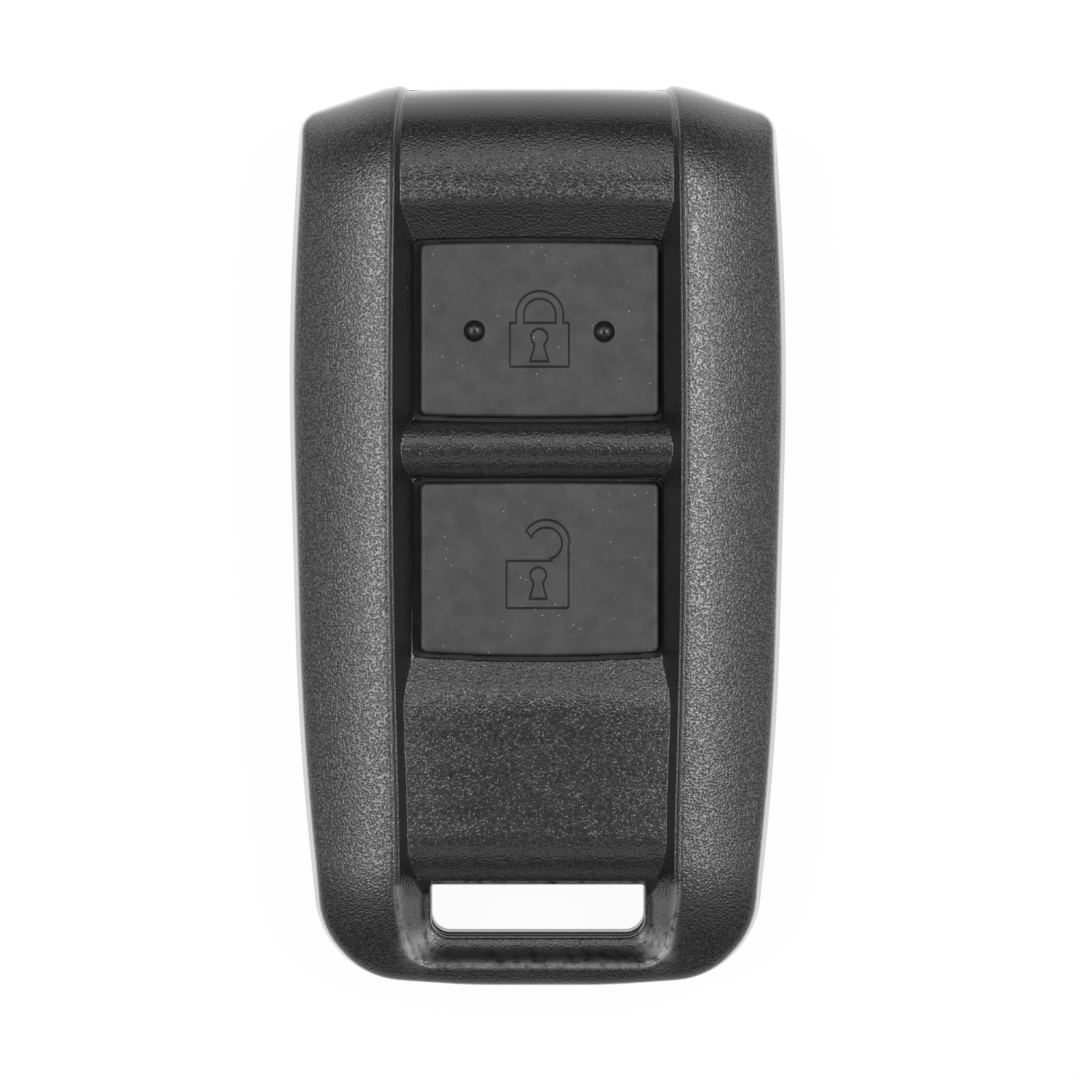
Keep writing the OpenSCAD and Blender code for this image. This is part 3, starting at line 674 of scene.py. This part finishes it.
def grained_plastic():
    """Black moulded plastic: fine leather grain on the outer faces, smooth channel walls and rim, and
    painted shade in the grain's hollows.
    """
    f = Finish("grained_plastic", Specular_IOR_Level=0.62, Coat_IOR=2.0, Coat_Roughness=0.3)
    grained, rim, scuffed_and_lit = f.attribute("grained"), f.attribute("rim"), f.attribute("scuffed_and_lit")
    pebbles = f.noise(0.185, 0.0)
    creases = f.cells(0.42, "DISTANCE_TO_EDGE").span(0.0, 0.16)
    height = pebbles + creases * 0.05
    pit_shade = (1 - pebbles.span(0.35, 0.6)) * grained
    wing = grained.span(0.95, 1.3)
    peaks = pebbles.span(0.48, 0.66) * wing
    worn = scuffed_and_lit * f.noise(0.9, 4.0, 0.6).span(0.25, 0.6)
    lint = (1 - f.cells(1.1).span(0.02, 0.045)) * f.noise(1.7, 0.0).span(0.5, 0.6)
    colour = f.mix(f.noise(6.0, 3.0).span(0.3, 0.7), grey(22), grey(27))
    # painted shade: the hollows of the grain are darkened
    colour = f.mix(pit_shade * 0.6, colour, grey(7))
    # lighter where keys have rubbed, and painted light on the bowl's rim and walls
    colour = f.mix(worn * 0.9, colour, grey(160))
    colour = f.mix(lint * 0.4, colour, grey(228))
    rough = 0.23 - 0.15 * rim + f.noise(0.6) * 0.06 + worn * 0.2 + wing * 0.06
    gloss = f.attribute("glossy") + peaks * 0.4 + rim * 0.4
    return f.shade(Base_Color=colour, Roughness=rough, Coat_Weight=gloss,
                   Normal=f.bump(height * grained, 0.054))


def button_rubber():
    """Matte grey rubber with fine dust."""
    f = Finish("button_rubber", Specular_IOR_Level=0.4)
    dust = (1 - f.cells(0.7).span(0.03, 0.08)) * f.noise(1.0, 0.0).span(0.45, 0.55)
    specks = (1 - f.cells(0.4).span(0.04, 0.08)) * f.noise(0.8, 0.0).span(0.52, 0.6)
    dots = f.attribute("raised")
    colour = f.mix(f.noise(2.0, 4.0, 0.65).span(0.3, 0.7), grey(39), grey(52))
    colour = f.mix(dust * 0.5 + specks * 0.25, colour, grey(216))
    # painted shade: the engraved lines are darkened as if shaded in their grooves
    colour = f.mix(f.attribute("engraved") * 0.6, colour, grey(18))
    # painted shade: the dots are darker to stand for the shade on the sides of their domes
    colour = f.mix(dots, colour, grey(15))
    rough = 0.46 - 0.22 * dots + f.noise(0.4) * 0.1
    return f.shade(Base_Color=colour, Roughness=rough, Normal=f.bump(f.noise(0.12), 0.01))


def plain_finish(name, colour, rough, metal=0.0, grain=0.2):
    """A moulded, sheet-metal or board finish with slight variation of colour and roughness."""
    f = Finish(name, Metallic=metal)
    darker = tuple(c * 0.85 for c in colour[:3]) + (1.0,)
    tone = f.mix(f.noise(1.6, 3.0).span(0.3, 0.7), darker, colour)
    return f.shade(Base_Color=tone, Roughness=rough - 0.05 + f.noise(0.8) * 0.1,
                   Normal=f.bump(f.noise(grain), 0.003))


# Colour and roughness, then metal and the size of the grain where they aren't the usual ones
PLAIN_FINISHES = {
    "web_silicone": (grey(62), 0.6),
    "tray_plastic": ((0.5, 0.5, 0.47, 1), 0.5),
    "board_laminate": ((0.02, 0.12, 0.05, 1), 0.4, 0.0, 0.5),
    "switch_plastic": (grey(48), 0.5),
    "plunger_plastic": ((0.6, 0.53, 0.4, 1), 0.5),
    "sheet_steel": ((0.6, 0.6, 0.62, 1), 0.32, 1.0),
    "cell_steel": ((0.62, 0.62, 0.64, 1), 0.28, 1.0),
    "contact_brass": ((0.72, 0.55, 0.25, 1), 0.35, 1.0),
    "chip_resin": (grey(38), 0.55),
    "crystal_can": ((0.66, 0.65, 0.62, 1), 0.3, 1.0),
    "capacitor_ceramic": ((0.36, 0.24, 0.13, 1), 0.5),
    "ferrite": (grey(55), 0.6),
    "copper_wire": ((0.6, 0.26, 0.1, 1), 0.3, 1.0),
    "antenna_wire": ((0.62, 0.6, 0.55, 1), 0.3, 1.0),
    "blade_steel": ((0.56, 0.56, 0.57, 1), 0.3, 1.0),
}
plastic, rubber = grained_plastic(), button_rubber()
finishes = {name: plain_finish(name, *values) for name, values in PLAIN_FINISHES.items()}


def dress(piece, material):
    piece.data.materials.clear()
    piece.data.materials.append(material)


for piece in (front, rear, head):
    dress(piece, plastic)
for piece in buttons:
    dress(piece, rubber)
for subpart in frame["record"]["subparts"]:
    node = frame["nodes"][subpart["node"]]
    if subpart["material_slot"] in finishes:
        for place in node.material_slots:
            place.material = finishes[subpart["material_slot"]]


# Floor, light and camera

FLOOR_HALF, FLOOR_LEVEL, SHADOW = 3.0, -0.05 * MM, 0.05


def floor_finish():
    """White to camera, glossy and transmitted rays but for a trace of shadow, and lit to all others."""
    f = Finish("white_floor", Base_Color=(0.8, 0.8, 0.8, 1), Roughness=0.9, Specular_IOR_Level=0.0)
    lit = Socket(f, f.shader.outputs[0])
    glow = f.node("ShaderNodeEmission", None, {"Strength": 1.0})
    seen = f.node("ShaderNodeLightPath", output="Is Camera Ray")
    for ray in ("Is Glossy Ray", "Is Transmission Ray"):
        seen = seen.math("MAXIMUM", seen, f.node("ShaderNodeLightPath", output=ray))
    white = f.node("ShaderNodeMixShader", None, {0: seen, 1: lit, 2: glow})
    shaded = f.node("ShaderNodeMixShader", None, {0: SHADOW, 1: white, 2: lit})
    f.tree.links.new(shaded.output, f.tree.nodes["Material Output"].inputs["Surface"])
    return f.material


def white_floor():
    mesh = bpy.data.meshes.new("floor")
    corners = [(-FLOOR_HALF, -FLOOR_HALF), (FLOOR_HALF, -FLOOR_HALF), (FLOOR_HALF, FLOOR_HALF),
               (-FLOOR_HALF, FLOOR_HALF)]
    mesh.from_pydata([(x, y, FLOOR_LEVEL) for x, y in corners], [], [(0, 1, 2, 3)])
    mesh.materials.append(floor_finish())
    floor = bpy.data.objects.new("floor", mesh)
    bpy.context.collection.objects.link(floor)


# Tilt off vertical and heading (0 is +X, 90 is +Y) in degrees, length, width and power
LAMPS = {
    "left_box": (29, 172, 0.55, 0.2, 3.4),
    "left_wing": (48, 180, 1.2, 0.26, 1.55),
    "left_fill": (72, 180, 0.7, 0.3, 0.6),
    "right_fill": (72, 0, 0.7, 0.3, 0.7),
    "right_box": (29, 14, 0.5, 0.2, 3.85),
    "right_wing": (48, 0, 1.2, 0.26, 1.48),
    "top_box": (34, 90, 0.5, 0.4, 1.3),
    "top_fill": (84, 90, 0.5, 0.12, 0.18),
    "bottom_box": (36, 270, 0.9, 0.3, 0.96),
    "bottom_fill": (80, 270, 0.9, 0.2, 0.37),
}
LAMP_DISTANCE, SKY = 0.8, 0.08


def softbox(name, tilt, heading, length, width, power):
    """A rectangular lamp that faces the middle of the fob."""
    lamp = bpy.data.lights.new(name, "AREA")
    lamp.shape, lamp.size, lamp.size_y, lamp.energy = "RECTANGLE", length, width, power
    t, h = math.radians(tilt), math.radians(heading)
    place = Vector((math.sin(t) * math.cos(h), math.sin(t) * math.sin(h), math.cos(t))) * LAMP_DISTANCE
    holder = bpy.data.objects.new(name, lamp)
    holder.location = place
    holder.rotation_euler = place.to_track_quat("Z", "Y").to_euler()
    bpy.context.collection.objects.link(holder)


white_floor()
for name, values in LAMPS.items():
    softbox(name, *values)
world = bpy.data.worlds.new("studio")
world.use_nodes = True
world.node_tree.nodes["Background"].inputs[0].default_value = (SKY, SKY, SKY, 1)
bpy.context.scene.world = world

PHOTO_WIDTH, PHOTO_SCALE = 1080, 11.551  # pixels, and pixels in a millimetre
EYE_X, EYE_Y = 0.195, -0.472
camera = bpy.data.cameras.new("camera")
camera.lens, camera.sensor_width = 250.0, 36.0
eye_height = PARTING + PHOTO_WIDTH / PHOTO_SCALE * camera.lens / camera.sensor_width
eye = bpy.data.objects.new("camera", camera)
eye.location = (EYE_X * MM, EYE_Y * MM, eye_height * MM)
bpy.context.collection.objects.link(eye)
bpy.context.scene.camera = eye
bpy.context.scene.view_settings.view_transform = "Standard"
